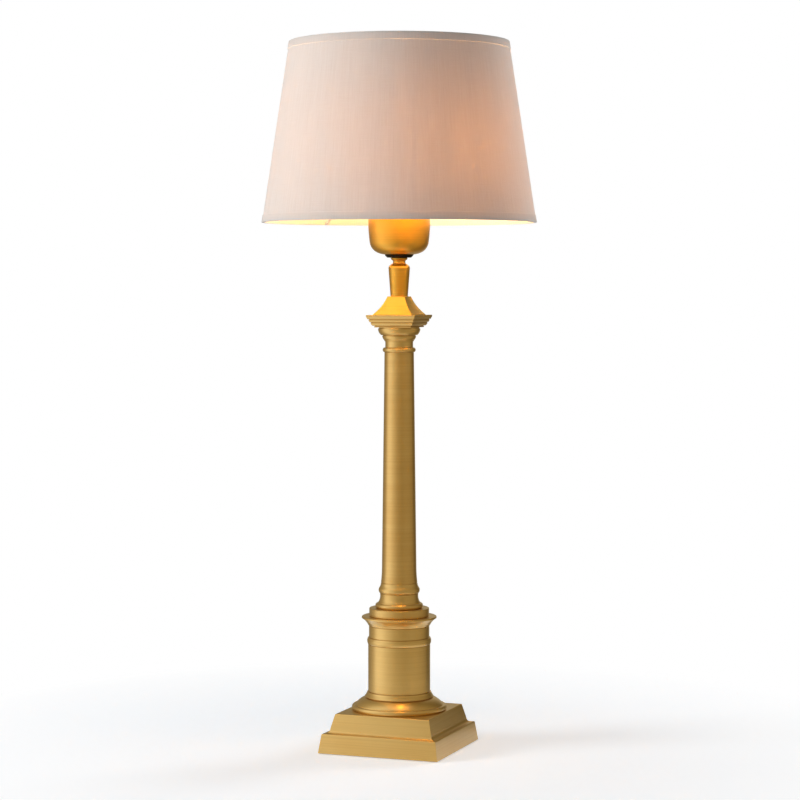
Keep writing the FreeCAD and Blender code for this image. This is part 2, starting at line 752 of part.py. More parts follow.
# --- Capital. Round echinus: neck, fillet and two ovolos parted by a groove.
LOWER_OVOLO_FOOT = "capital_neck_height + capital_fillet_height"
LOWER_OVOLO_TOP = f"{LOWER_OVOLO_FOOT} + lower_ovolo_height"
UPPER_OVOLO_FOOT = f"{LOWER_OVOLO_TOP} + groove_width"
UPPER_OVOLO_TOP = f"{UPPER_OVOLO_FOOT} + upper_ovolo_height"
turned("capital", [
    (ROD_HOLE, "0"),
    ("capital_neck_radius", "0", "capital_neck_hollow"),
    ("capital_neck_radius", "capital_neck_height"),
    ("capital_fillet_radius", "capital_neck_height"),
    ("capital_fillet_radius", LOWER_OVOLO_FOOT, "-lower_ovolo_bulge"),
    ("lower_ovolo_radius", LOWER_OVOLO_TOP),
    ("lower_ovolo_radius - groove_depth", LOWER_OVOLO_TOP),
    ("lower_ovolo_radius - groove_depth", UPPER_OVOLO_FOOT),
    ("upper_ovolo_foot_radius", UPPER_OVOLO_FOOT, "-upper_ovolo_bulge"),
    ("upper_ovolo_radius", UPPER_OVOLO_TOP),
    ("upper_ovolo_radius - groove_depth", UPPER_OVOLO_TOP),
    ("upper_ovolo_radius - groove_depth", "capital_height"),
    (ROD_HOLE, "capital_height"),
], NECKING_TOP)

# Square abacus: a fillet, two rounded bands and a fascia, parted by grooves that run all round.
LOWER_BAND_LOW = "abacus_foot_height + abacus_groove"
LOWER_BAND_TOP = f"{LOWER_BAND_LOW} + lower_band_height"
UPPER_BAND_LOW = f"{LOWER_BAND_TOP} + abacus_groove"
UPPER_BAND_TOP = f"{UPPER_BAND_LOW} + upper_band_height"
FASCIA_LOW = f"{UPPER_BAND_TOP} + abacus_groove"
abacus_moulding = squared("abacus", [
    ("abacus_foot_side / 2", "0"),
    ("abacus_foot_side / 2", "abacus_foot_height"),
    ("abacus_foot_side / 2 - abacus_groove", "abacus_foot_height"),
    ("abacus_foot_side / 2 - abacus_groove", LOWER_BAND_LOW),
    ("lower_band_foot_side / 2", LOWER_BAND_LOW, "-abacus_band_bulge"),
    ("lower_band_side / 2", LOWER_BAND_TOP),
    ("lower_band_side / 2 - abacus_groove", LOWER_BAND_TOP),
    ("lower_band_side / 2 - abacus_groove", UPPER_BAND_LOW),
    ("upper_band_foot_side / 2", UPPER_BAND_LOW, "-abacus_band_bulge"),
    ("upper_band_side / 2", UPPER_BAND_TOP),
    ("upper_band_side / 2 - abacus_groove", UPPER_BAND_TOP),
    ("upper_band_side / 2 - abacus_groove", FASCIA_LOW),
    ("fascia_foot_side / 2", FASCIA_LOW, "fascia_hollow"),
    ("abacus_side / 2", f"{FASCIA_LOW} + fascia_height"),
    ("abacus_side / 2", "abacus_height"),
])
abacus = cut("abacus", abacus_moulding, cylinder("abacus_rod_hole", ROD_HOLE, "abacus_height"))
finished(abacus, "abacus", CAPITAL_TOP)

# Concave four-sided cap on the abacus.
cap_moulding = squared("capital_cap", [
    ("cap_foot_side / 2", "0"),
    ("cap_foot_side / 2", "cap_lip", "cap_hollow"),
    ("cap_top_side / 2", "cap_height"),
])
cap = cut("capital_cap", cap_moulding, cylinder("cap_rod_hole", ROD_HOLE, "cap_height"))
finished(cap, "capital_cap", ABACUS_TOP)

# --- Candle neck, waisted collar, blackened washer and spun cup.
turned("candle_neck", [
    (ROD_HOLE, "0"),
    ("neck_foot_radius", "0"),
    ("neck_radius", "neck_body_height", "-neck_shoulder_bulge"),
    ("neck_shoulder_radius", "neck_body_height + neck_shoulder_height", "-neck_top_bulge"),
    ("collar_foot_radius", "neck_height"),
    (ROD_HOLE, "neck_height"),
], CAP_TOP)

turned("neck_collar", [
    (ROD_HOLE, "0"),
    ("collar_foot_radius", "0", "collar_hollow"),
    ("collar_waist_radius", "collar_waist_foot"),
    ("collar_waist_radius", "collar_waist_top"),
    ("collar_radius", "collar_shoulder", "-collar_bulge"),
    ("collar_radius - groove_depth / 2", "collar_height"),
    (ROD_HOLE, "collar_height"),
], NECK_TOP)

turned("cup_washer", [
    (ROD_HOLE, "0"),
    ("cup_washer_foot_radius", "0"),
    ("cup_washer_radius", "cup_washer_height - cup_washer_rim"),
    ("cup_washer_radius", "cup_washer_height"),
    (ROD_HOLE, "cup_washer_height"),
], COLLAR_TOP)

turned("cup", [
    (ROD_HOLE, "0"),
    ("cup_seat_radius", "0", "-cup_floor_bulge"),
    ("cup_floor_radius", "cup_floor_height", "-cup_belly_bulge"),
    ("cup_belly_radius", "cup_belly_height", "-cup_side_bulge"),
    ("cup_radius", "cup_height"),
    ("cup_radius - cup_wall", "cup_height", "cup_side_bulge"),
    ("cup_belly_radius - cup_wall", "cup_belly_height", "cup_belly_bulge"),
    ("cup_floor_radius - cup_wall / 2", "cup_floor_height + cup_wall", "cup_floor_bulge"),
    ("cup_seat_radius", "cup_wall"),
    (ROD_HOLE, "cup_wall"),
], WASHER_TOP)

hexagon_nut("cup_nut", "cup_nut_thick", CUP_NUT_FOOT)

# --- Lampholder: a cap screwed on the rod, the contact carrier, and the barrel with its shoulder.
CAP_INSIDE = "holder_radius - holder_wall"
turned("holder_cap", [
    (ROD_THREAD, "0"),
    ("holder_boss_radius", "0"),
    ("holder_boss_radius", "holder_wall", "holder_boss_hollow"),
    (f"{CAP_INSIDE} - holder_wall", "holder_boss_height", "-holder_foot_bulge"),
    ("holder_radius", "holder_boss_height + 3 * holder_wall"),
    ("holder_radius", "holder_cap_height"),
    (CAP_INSIDE, "holder_cap_height"),
    (CAP_INSIDE, "holder_boss_height + 4 * holder_wall"),
    (ROD_THREAD, "holder_boss_height + holder_wall"),
], HOLDER_FOOT)

turned("holder_core", [
    ("0", CORE_FOOT),
    ("core_radius", CORE_FOOT),
    ("core_radius", f"{CORE_TOP} - core_step_height"),
    ("core_step_radius", f"{CORE_TOP} - core_step_height"),
    ("core_step_radius", CORE_TOP),
    ("0", CORE_TOP),
], HOLDER_FOOT)

SHELL_FOOT = f"{CORE_TOP} - core_step_height"
turned("screw_shell", [
    ("screw_shell_radius - screw_shell_wall", "screw_shell_wall"),
    ("core_step_radius + thread_clear", "screw_shell_wall"),
    ("core_step_radius + thread_clear", "0"),
    ("screw_shell_radius", "0"),
    ("screw_shell_radius", "screw_shell_height"),
    ("screw_shell_radius - screw_shell_wall", "screw_shell_height"),
], f"{HOLDER_FOOT} + {SHELL_FOOT}")

# The centre contact is a strip that springs up under the bulb's button.
contact = new_body("holder_contact")
strip = contact.newObject("PartDesign::Pad", "contact_strip")
strip.Profile = section(contact, "contact_strip", "XZ_Plane", [
    ("-contact_length / 2", "0"),
    ("-contact_length / 6", "0"),
    ("contact_length / 4", "contact_rise - contact_thick", "contact_bulge"),
    ("contact_length / 3", "contact_rise - 2 * contact_thick"),
    ("contact_length / 3", "contact_rise - contact_thick", "-contact_bulge"),
    ("contact_length / 4", "contact_rise"),
    ("-contact_length / 6 - contact_thick / 2", "contact_thick"),
    ("-contact_length / 2", "contact_thick"),
])
strip.setExpression("Length", tied("contact_width"))
strip.Midplane = True
contact.Tip = strip
finished(contact, "holder_contact", f"{HOLDER_FOOT} + {CORE_TOP}")

terminals = new_body("terminal_screws")
terminal = spun(
    terminals, "terminal_screw", ring_points("0", "terminal_radius", "terminal_height"), out="terminal_place",
)
polar(terminals, "terminal_pair", terminal, 2)
finished(terminals, "terminal_screws", f"{HOLDER_FOOT} + {SHELL_FOOT}")

SEAT_FOOT = "holder_seat_height - holder_seat_thick"
turned("holder_barrel", [
    (CAP_INSIDE, "holder_cap_height"),
    ("holder_radius", "holder_cap_height"),
    ("holder_radius", f"{SEAT_FOOT} - holder_wall"),
    ("holder_seat_radius", SEAT_FOOT),
    ("holder_seat_radius", "holder_seat_height"),
    ("holder_thread_radius", "holder_seat_height"),
    ("holder_thread_radius", "holder_height"),
    ("holder_mouth_radius", "holder_height"),
    ("holder_mouth_radius", f"{SEAT_FOOT} - holder_wall"),
    (CAP_INSIDE, f"{SEAT_FOOT} - 3 * holder_wall"),
], HOLDER_FOOT)

# --- Candle bulb: button, black glass insulator, screw cap, glass, stem and filament.
BULB_FOOT = f"{HOLDER_FOOT} + {CORE_TOP} + contact_rise + bulb_gap"
INSULATOR_FOOT = "bulb_button_height"
CAP_FOOT = f"{INSULATOR_FOOT} + bulb_insulator_height"
GLASS_FOOT = f"{CAP_FOOT} + bulb_cap_height"
turned("bulb_contact", [
    ("0", "0"),
    ("bulb_button_face", "0", "-bulb_button_bulge"),
    ("bulb_button_radius", "bulb_button_height"),
    ("0", "bulb_button_height"),
], BULB_FOOT)

turned("bulb_insulator", [
    ("0", INSULATOR_FOOT),
    ("bulb_button_radius + thread_clear", INSULATOR_FOOT, "-bulb_insulator_bulge"),
    ("bulb_cap_radius - 2 * bulb_cap_wall", f"{CAP_FOOT} - bulb_cap_wall"),
    ("bulb_cap_radius - 2 * bulb_cap_wall", CAP_FOOT),
    ("0", CAP_FOOT),
], BULB_FOOT)

turned("bulb_cap", [
    ("bulb_cap_radius - bulb_cap_wall", CAP_FOOT),
    ("bulb_cap_radius", CAP_FOOT),
    ("bulb_cap_radius", GLASS_FOOT),
    ("bulb_cap_radius - bulb_cap_wall", GLASS_FOOT),
], BULB_FOOT)

GLASS_LOW = f"{GLASS_FOOT} - bulb_cap_height / 3"
NECK_END = f"{GLASS_FOOT} + bulb_wall"
BELLY = f"{GLASS_FOOT} + bulb_belly_height"
TIP = f"{GLASS_FOOT} + bulb_height"
SHOULDER = f"{BELLY} + bulb_shoulder_height"
SHOULDER_INSIDE = "bulb_shoulder_radius - bulb_wall"


def upright_arc(across, up):
    """The bulge of an arc over this much across and up that meets the widest level upright."""
    return f"tan(atan(({across}) / ({up})) / 2)"


SWELL = upright_arc("bulb_radius - bulb_neck_radius", "bulb_belly_height - bulb_wall")
CLOSE = upright_arc("bulb_radius - bulb_shoulder_radius", "bulb_shoulder_height")
turned("bulb_glass", [
    ("bulb_neck_radius - bulb_wall", GLASS_LOW),
    ("bulb_neck_radius", GLASS_LOW),
    ("bulb_neck_radius", NECK_END, f"-{SWELL}"),
    ("bulb_radius", BELLY, f"-{CLOSE}"),
    ("bulb_shoulder_radius", SHOULDER),
    ("bulb_tip_radius", f"{TIP} - bulb_tip_radius", ROUND),
    ("bulb_pip_radius", TIP),
    ("0", TIP),
    ("0", f"{TIP} - 2 * bulb_wall"),
    ("bulb_pip_radius", f"{TIP} - 2 * bulb_wall"),
    ("bulb_tip_radius - bulb_wall / 2", f"{TIP} - bulb_tip_radius - bulb_wall"),
    (SHOULDER_INSIDE, SHOULDER, CLOSE),
    ("bulb_radius - bulb_wall", BELLY, SWELL),
    ("bulb_neck_radius - bulb_wall", NECK_END),
], BULB_FOOT)

STEM_FOOT = f"{CAP_FOOT} + bulb_cap_height / 2"
STEM_TOP = f"{STEM_FOOT} + bulb_stem_height"
turned("bulb_stem", [
    ("0", STEM_FOOT),
    ("bulb_neck_radius - bulb_wall", STEM_FOOT),
    ("bulb_neck_radius - bulb_wall", f"{STEM_FOOT} + bulb_wall"),
    ("bulb_stem_radius", f"{STEM_FOOT} + 3 * bulb_wall"),
    ("bulb_stem_radius / 2", STEM_TOP),
    ("0", STEM_TOP),
], BULB_FOOT)


def bent_wire(name, role, radius, offset, path):
    """A round wire along a path on the XZ plane, with its section on another origin plane, moved
    there by an offset given as (across, up, out)."""
    wire = new_body(name)
    spine = section(wire, f"{name}_path", "XZ_Plane", path, closed=False)
    circle = wire.newObject("Sketcher::SketchObject", f"{name}_section")
    circle.AttachmentSupport = [(origin_plane(wire, role), "")]
    circle.MapMode = "FlatFace"
    for direction, distance in zip("xyz", offset):
        circle.setExpression(f"AttachmentOffset.Base.{direction}", tied(distance))
    circle.addGeometry(Part.Circle(FreeCAD.Vector(), FreeCAD.Vector(0, 0, 1), number(radius)))
    circle.addConstraint(Sketcher.Constraint("Coincident", 0, 3, -1, 1))
    circle.addConstraint(Sketcher.Constraint("Radius", 0, number(radius)))
    circle.setExpression("Constraints[1]", tied(radius))
    pipe = wire.newObject("PartDesign::AdditivePipe", f"{name}_pipe")
    pipe.Profile = circle
    pipe.Spine = spine
    wire.Tip = pipe
    return wire


# The filament is a hoop between two lead wires that stand on the stem.
LEAD_PLACE = "bulb_stem_radius / 3"
LEAD_FOOT = f"{STEM_TOP} + weld_gap"
HOOP_FOOT = f"{STEM_TOP} + filament_span"
filament = bent_wire("bulb_filament", "XY_Plane", "filament_radius", (f"-{LEAD_PLACE}", "0", LEAD_FOOT), [
    (f"-{LEAD_PLACE}", LEAD_FOOT),
    ("-filament_span / 2", HOOP_FOOT, "filament_bulge"),
    ("filament_span / 2", HOOP_FOOT),
    (LEAD_PLACE, LEAD_FOOT),
])
finished(filament, "bulb_filament", BULB_FOOT)

# --- Shade. All its shells follow one taper; heights count from its lower rim.
LEAN = "(shade_radius - shade_top_radius) / shade_height"
WIRE_ROOM = "2 * (wire_radius + wire_clear)"


def at(height, inset="0"):
    """A point on the shade's outer cone, moved in by an inset."""
    return (f"shade_radius - {LEAN} * ({height}) - ({inset})", height)


def shell_points(low, high, outer_inset, thickness):
    """The half section of one cone-shaped shell of the shade."""
    inner_inset = f"{outer_inset} + {thickness}"
    return [at(low, inner_inset), at(low, outer_inset), at(high, outer_inset), at(high, inner_inset)]


SHELL_LOW = f"trim_thick + {WIRE_ROOM}"
SHELL_HIGH = f"shade_height - trim_thick - {WIRE_ROOM}"
COVER_INSET = "trim_thick"
LINER_INSET = "trim_thick + shade_cover"
INSIDE_INSET = "trim_thick + shade_cover + shade_liner"
turned("shade_fabric", shell_points(SHELL_LOW, SHELL_HIGH, COVER_INSET, "shade_cover"), SHADE_FOOT)
turned("shade_liner", shell_points(SHELL_LOW, SHELL_HIGH, LINER_INSET, "shade_liner"), SHADE_FOOT)


WIRE_LOW = f"trim_thick + {WIRE_ROOM} / 2"
WIRE_HIGH = f"shade_height - ({WIRE_LOW})"
WIRE_INSET = f"trim_thick + {WIRE_ROOM} / 2"


def edge_points(rim, step, wire_height):
    """The half section of a turned edge: an outer band, a lip round the wire and an inner band.
    step is + where the bands run up from the rim and - where they run down."""
    band = f"{rim} {step} trim_band"
    lip = f"{rim} {step} trim_thick"
    past_wire = f"{rim} {step} (trim_thick + {WIRE_ROOM})"
    inner_band = f"{rim} {step} trim_inner_band"
    behind_wire = f"{at(wire_height, WIRE_INSET)[0]} - wire_radius - 2 * wire_clear"
    return [
        at(rim),
        at(band),
        at(band, "trim_thick"),
        at(lip, "trim_thick"),
        (behind_wire, lip),
        (behind_wire, past_wire),
        at(inner_band, INSIDE_INSET),
        at(inner_band, f"{INSIDE_INSET} + trim_thick"),
        (f"{behind_wire} - trim_thick", past_wire),
        (f"{behind_wire} - trim_thick", rim),
    ]


def ring_wire(name, height):
    """A hoop of round wire inside a turned edge."""
    hoop = document.addObject("Part::Torus", f"{name}_hoop")
    hoop.setExpression("Radius1", tied(at(height, WIRE_INSET)[0]))
    hoop.setExpression("Radius2", tied("wire_radius"))
    return finished(hoop, name, f"{SHADE_FOOT} + {height}")


ring_wire("bottom_ring_wire", WIRE_LOW)
ring_wire("top_ring_wire", WIRE_HIGH)
turned("top_trim", edge_points("shade_height", "-", WIRE_HIGH), SHADE_FOOT)

# The three spokes stand evenly round, from one turn given in the sheet.
SPOKE_TURNS = [f"1 deg * (spoke_angle + {120 * place})" for place in range(3)]

# The lower edge is slit on its inner band where each spoke goes through to the wire.
trim_edge = new_body("bottom_trim_edge")
spun(trim_edge, "bottom_trim_spin", edge_points("0", "+", WIRE_LOW))
SLIT_HALF = "(spoke_radius + notch_clear)"
slits = []
for place, turn in enumerate(SPOKE_TURNS, start=1):
    box = document.addObject("Part::Box", f"trim_slit_box_{place}")
    box.setExpression("Length", tied(f"2 * ({WIRE_ROOM})"))
    box.setExpression("Width", tied(f"2 * {SLIT_HALF}"))
    box.setExpression("Height", tied("2 * trim_inner_band"))
    box.setExpression("Placement.Base.x", tied(f"{at(WIRE_LOW, WIRE_INSET)[0]} - 2 * ({WIRE_ROOM})"))
    box.setExpression("Placement.Base.y", tied(f"-{SLIT_HALF}"))
    box.setExpression("Placement.Base.z", tied("trim_thick"))
    slit = document.addObject("Part::Compound", f"trim_slit_{place}")
    slit.Links = [box]
    slit.setExpression("Placement.Rotation.Angle", tied(turn))
    slits.append(slit)
trim_slits = document.addObject("Part::Compound", "trim_slits")
trim_slits.Links = slits
finished(cut("bottom_trim_slit", trim_edge, trim_slits), "bottom_trim", SHADE_FOOT)

# --- Fitter: a flat ring that drops over the lampholder, and three bent wire spokes welded to it.
turned("fitter_ring", ring_points("fitter_bore", "fitter_radius", "fitter_thick"), SHADE_SEAT)

# Each spoke runs out level, bends down and bends level again just above the turned edge, where it
# meets the lower wire.
SPOKE_START = "fitter_radius + weld_gap"
SPOKE_END = f"{at(WIRE_LOW, WIRE_INSET)[0]} - wire_radius - weld_gap"
SPOKE_LEVEL = "fitter_drop + fitter_thick / 2"
SPOKE_FOOT = "trim_thick + weld_gap + spoke_radius"
SPOKE_FALL = f"atan(({SPOKE_LEVEL} - ({SPOKE_FOOT})) / (spoke_foot_place - spoke_bend_place))"
BEND = f"spoke_bend_radius * tan({SPOKE_FALL} / 2)"
BEND_ACROSS = f"{BEND} * cos({SPOKE_FALL})"
BEND_UP = f"{BEND} * sin({SPOKE_FALL})"
for place, turn in enumerate(SPOKE_TURNS, start=1):
    spoke = bent_wire(f"spoke_{place}", "YZ_Plane", "spoke_radius", ("0", SPOKE_LEVEL, SPOKE_START), [
        (SPOKE_START, SPOKE_LEVEL),
        (f"spoke_bend_place - {BEND}", SPOKE_LEVEL, f"tan({SPOKE_FALL} / 4)"),
        (f"spoke_bend_place + {BEND_ACROSS}", f"{SPOKE_LEVEL} - {BEND_UP}"),
        (f"spoke_foot_place - {BEND_ACROSS}", f"{SPOKE_FOOT} + {BEND_UP}", f"-tan({SPOKE_FALL} / 4)"),
        (f"spoke_foot_place + {BEND}", SPOKE_FOOT),
        (SPOKE_END, SPOKE_FOOT),
    ])
    spoke.setExpression("Placement.Rotation.Angle", tied(turn))
    finished(spoke, f"spoke_{place}", SHADE_FOOT)

turned("shade_ring", [
    ("holder_thread_radius + ring_clear", "0"),
    ("ring_flange_radius", "0"),
    ("ring_flange_radius", "ring_flange_thick"),
    ("ring_radius", "ring_flange_thick"),
    ("ring_radius", "ring_height"),
    ("holder_thread_radius + ring_clear", "ring_height"),
], f"{SHADE_SEAT} + fitter_thick + seat_gap")

document.recompute()

for thing in document.Objects:
    if "Invalid" in thing.State or "Error" in thing.State:
        raise RuntimeError(f"{thing.Name} ({thing.Label}) failed: {thing.State}")
for piece in pieces:
    if piece.Shape.isNull() or not piece.Shape.isValid():
        raise RuntimeError(f"{piece.Label} has no valid shape")

os.makedirs("parts", exist_ok=True)
for piece in pieces:
    piece.Shape.exportStep(f"parts/{piece.Label}.step")
print(f"{len(pieces)} pieces, shade top at {number(SHADE_FOOT + ' + shade_height'):.1f} mm")
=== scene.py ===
import json
import math

import bmesh
import bpy
from mathutils import Matrix, Vector


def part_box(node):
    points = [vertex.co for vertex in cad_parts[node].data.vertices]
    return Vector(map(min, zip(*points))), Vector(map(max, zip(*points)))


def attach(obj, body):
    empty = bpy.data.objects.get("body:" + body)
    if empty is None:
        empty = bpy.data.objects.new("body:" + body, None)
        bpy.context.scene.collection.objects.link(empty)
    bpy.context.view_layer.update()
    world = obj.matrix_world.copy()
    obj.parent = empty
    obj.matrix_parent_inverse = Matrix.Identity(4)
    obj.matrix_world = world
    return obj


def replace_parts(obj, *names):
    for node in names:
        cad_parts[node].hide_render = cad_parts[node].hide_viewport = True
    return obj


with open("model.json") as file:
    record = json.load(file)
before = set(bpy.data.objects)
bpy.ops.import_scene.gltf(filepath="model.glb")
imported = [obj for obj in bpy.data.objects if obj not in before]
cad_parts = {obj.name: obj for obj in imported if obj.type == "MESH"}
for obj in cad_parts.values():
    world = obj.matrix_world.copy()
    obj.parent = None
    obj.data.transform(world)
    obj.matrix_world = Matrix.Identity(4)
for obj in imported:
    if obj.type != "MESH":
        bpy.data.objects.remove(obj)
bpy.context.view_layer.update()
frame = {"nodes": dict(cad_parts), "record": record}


# Table: a plain pale surface, seen as white, that keeps the lamp's soft shadow. Its top is at the
# height of the felt's underside. The shader helpers start here because it is the first surface.
class Signal:
    """What a shader node gives out. Sums written with it add Math nodes."""

    def __init__(self, finish, socket):
        self.finish = finish
        self.socket = socket

    def maths(self, operation, *others):
        return self.finish.node("Math", {"operation": operation}, dict(enumerate((self, *others))))

    def __add__(self, other):
        return self.maths("ADD", other)

    def __sub__(self, other):
        return self.maths("SUBTRACT", other)

    def __rsub__(self, other):
        return self * -1.0 + other

    def __mul__(self, other):
        return self.maths("MULTIPLY", other)

    def __pow__(self, other):
        return self.maths("POWER", other)

    def clamped(self):
        return self.finish.node("Clamp", values={"Value": self})

    __radd__ = __add__
    __rmul__ = __mul__


class Finish:
    """A surface finish: a material and the nodes that make it."""

    def __init__(self, name, tree=None):
        if tree is None:
            self.material = bpy.data.materials.new(name)
            self.material.use_nodes = True
            tree = self.material.node_tree
        self.tree = tree
        self.tree.nodes.clear()

    def node(self, kind, settings=None, values=None, output=0):
        """Adds a node of this kind, gives it its settings, then its sockets' values or links."""
        made = self.tree.nodes.new("ShaderNode" + kind)
        for name, setting in (settings or {}).items():
            if name == "stops":
                stops = made.color_ramp.elements
                stops.remove(stops[-1])
                for place, colour in setting:
                    stop = stops.new(place) if place else stops[0]
                    stop.color = (*colour, 1.0)
            else:
                setattr(made, name, setting)
        for socket, value in (values or {}).items():
            if isinstance(value, Signal):
                self.tree.links.new(value.socket, made.inputs[socket])
            else:
                made.inputs[socket].default_value = value
        return Signal(self, made.outputs[output]) if made.outputs else None

    def place(self):
        """Where a point is on the object: its x, y and z in metres."""
        point = self.node("TexCoord", output="Object")
        split = self.node("SeparateXYZ", values={0: point}).socket.node.outputs
        return [Signal(self, split[axis]) for axis in range(3)]

    def noise(self, spots, detail=2.0, roughness=0.5):
        """Smooth noise from 0 to 1 whose grains are one unit of these three numbers."""
        vector = self.node("CombineXYZ", values=dict(enumerate(spots)))
        return self.node("TexNoise", values={
            "Vector": vector, "Scale": 1.0, "Detail": detail, "Roughness": roughness})

    def mixed(self, share, first, second):
        """One colour shading into another as the share goes from 0 to 1."""
        colours = [(*colour, 1.0) if isinstance(colour, tuple) else colour for colour in (first, second)]
        return self.node("Mix", {"data_type": "RGBA"}, {0: share, 6: colours[0], 7: colours[1]}, 2)

    def bumped(self, height, depth, strength=1.0):
        return self.node("Bump", values={"Height": height, "Distance": depth, "Strength": strength})

    def shown(self, shader, kind="OutputMaterial"):
        self.node(kind, values={0: shader})
        return self


def seen_directly(finish):
    """1 for rays from the camera, and for those that metal or glass sends on; 0 for all others."""
    path = finish.node("LightPath").socket.node.outputs
    straight = Signal(finish, path["Is Camera Ray"])
    for other in ("Is Glossy Ray", "Is Transmission Ray"):
        straight = straight.maths("MAXIMUM", Signal(finish, path[other]))
    return straight


def drawn(shape, name, finish, smooth=True):
    """Makes an object at the origin from a finished bmesh."""
    mesh = bpy.data.meshes.new(name)
    shape.to_mesh(mesh)
    shape.free()
    mesh.materials.append(finish.material)
    mesh.polygons.foreach_set("use_smooth", [smooth] * len(mesh.polygons))
    piece = bpy.data.objects.new(name, mesh)
    bpy.context.scene.collection.objects.link(piece)
    return piece


TABLE_SIZE = 12.0
TABLE_PALE = (0.84, 0.90, 0.96)
TABLE_GLOW = 0.24
SHADOW_REACH = (0.25, 0.6)
BLACK = (0.0, 0.0, 0.0)
WHITE = (1.0, 1.0, 1.0)

table_finish = Finish("pale_table")
x, y, z = table_finish.place()
away = (x * x + y * y).maths("SQRT")
far = ((away - SHADOW_REACH[0]) * (1.0 / (SHADOW_REACH[1] - SHADOW_REACH[0]))).clamped()
direct = seen_directly(table_finish)
table_finish.shown(table_finish.node("AddShader", values={
    0: table_finish.node("BsdfDiffuse", values={"Color": table_finish.mixed(far * direct, TABLE_PALE, BLACK)}),
    1: table_finish.node("Emission", values={
        "Color": (*WHITE, 1.0), "Strength": direct * (far * (1.0 - TABLE_GLOW) + TABLE_GLOW)})}))
shape = bmesh.new()
bmesh.ops.create_grid(shape, x_segments=1, y_segments=1, size=TABLE_SIZE / 2)
table = drawn(shape, "table_top", table_finish)


# Studio: a white backdrop all round, a large soft key light from the left of the camera, a soft
# light from behind on the right and one overhead.
WORLD_LEVEL = 0.06
SOFT_LIGHTS = {
    "key_light": {"turn": -54.0, "away": 2.2, "height": 1.0, "size": 0.9, "watts": 28.0},
    "rear_light": {"turn": 150.0, "away": 2.0, "height": 0.9, "size": 0.9, "watts": 20.0},
    "overhead_light": {"turn": 0.0, "away": 0.35, "height": 2.6, "size": 1.6, "watts": 22.0},
}
LIT_HEIGHT = 0.42

world = bpy.data.worlds.new("white_studio")
world.use_nodes = True
bpy.context.scene.world = world
backdrop = Finish("backdrop", world.node_tree)
direct = seen_directly(backdrop)
backdrop.shown(backdrop.node("Background", values={
    "Color": (*WHITE, 1.0), "Strength": direct * (1.0 - WORLD_LEVEL) + WORLD_LEVEL}), "OutputWorld")


def round_the_lamp(turn, away, height):
    """The place this far from the lamp, turned from its front towards its right, in degrees."""
    angle = math.radians(turn)
    return Vector((math.sin(angle) * away, -math.cos(angle) * away, height))


def soft_light(name, turn, away, height, size, watts):
    light = bpy.data.lights.new(name, "AREA")
    light.size = size
    light.energy = watts
    lamp = bpy.data.objects.new(name, light)
    lamp.location = round_the_lamp(turn, away, height)
    lamp.rotation_euler = (Vector((0, 0, LIT_HEIGHT)) - lamp.location).to_track_quat("-Z", "Y").to_euler()
    lamp.visible_glossy = False
    bpy.context.scene.collection.objects.link(lamp)


for name, light in SOFT_LIGHTS.items():
    soft_light(name, **light)


# Studio screens: a funnel of grey cloth round the lamp, pale on the key's side and dark behind on
# the right. Only metal and glass see it, which gives the brass its dark and bright bands.
SCREEN_FOOT_RADIUS = 0.24
SCREEN_TOP_RADIUS = 0.8
SCREEN_HEIGHT = 2.6
# how pale the cloth is at each turn from the front towards the right, in degrees
SCREEN_TONES = [(-180, 0.45), (-140, 0.28), (-110, 0.36), (-86, 0.58), (-68, 1.12), (-46, 1.12), (-25, 0.84),
                (5, 0.52), (35, 0.39), (66, 0.44), (100, 0.42), (124, 0.34), (142, 0.18), (158, 0.16),
                (180, 0.45)]
SCREEN_DARK_TINT = (1.0, 0.79, 0.30)

screen_finish = Finish("studio_screens")
x, y, z = screen_finish.place()
turn = x.maths("ARCTAN2", y * -1.0) * (0.5 / math.pi) + 0.5
stops = []
for degrees, pale in SCREEN_TONES:
    white_share = min(pale, 1.0)
    colour = tuple(pale * (white_share + (1.0 - white_share) * dark) for dark in SCREEN_DARK_TINT)
    stops.append(((degrees + 180) / 360, colour))
tone = screen_finish.node("ValToRGB", {"stops": stops}, {0: turn})
screen_finish.shown(screen_finish.node("Emission", values={"Color": tone, "Strength": 1.0}))
shape = bmesh.new()
bmesh.ops.create_cone(shape, segments=96, radius1=SCREEN_FOOT_RADIUS, radius2=SCREEN_TOP_RADIUS,
                      depth=SCREEN_HEIGHT)
bmesh.ops.translate(shape, verts=shape.verts, vec=(0, 0, SCREEN_HEIGHT / 2))
screens = drawn(shape, "studio_screens", screen_finish)
screens.visible_camera = screens.visible_diffuse = screens.visible_shadow = False
screens.visible_transmission = screens.visible_volume_scatter = False


# Camera: at the photograph's angle, a little to the lamp's right and above its middle, with a
# long lens.
CAMERA = {"turn": 20.5, "away": 2.632, "height": 0.512}
LENS = 108.35
AIM_HEIGHT = 0.3827
FRAME_SHIFT = 0.001

camera_data = bpy.data.cameras.new("camera")
camera_data.lens = LENS
camera_data.sensor_width = 36.0
camera_data.shift_x = FRAME_SHIFT
camera = bpy.data.objects.new("camera", camera_data)
camera.location = round_the_lamp(**CAMERA)
camera.rotation_euler = (Vector((0, 0, AIM_HEIGHT)) - camera.location).to_track_quat("-Z", "Y").to_euler()
bpy.context.scene.collection.objects.link(camera)
bpy.context.scene.camera = camera
bpy.context.scene.view_settings.view_transform = "Standard"


# Plinth: a hollow square casting in brass, two battered tiers with a cove between them. Its faces
# are brushed along their length and lacquered, and its mitres and top edges are eased.
JOIN = 1e-6
FLAT_WITHIN = math.radians(0.4)
BRASS = (0.80, 0.54, 0.19)
BRASS_WARM = (0.70, 0.41, 0.10)
STROKE_DARK = (0.62, 0.54, 0.45)
PLINTH_EASE = 0.0007


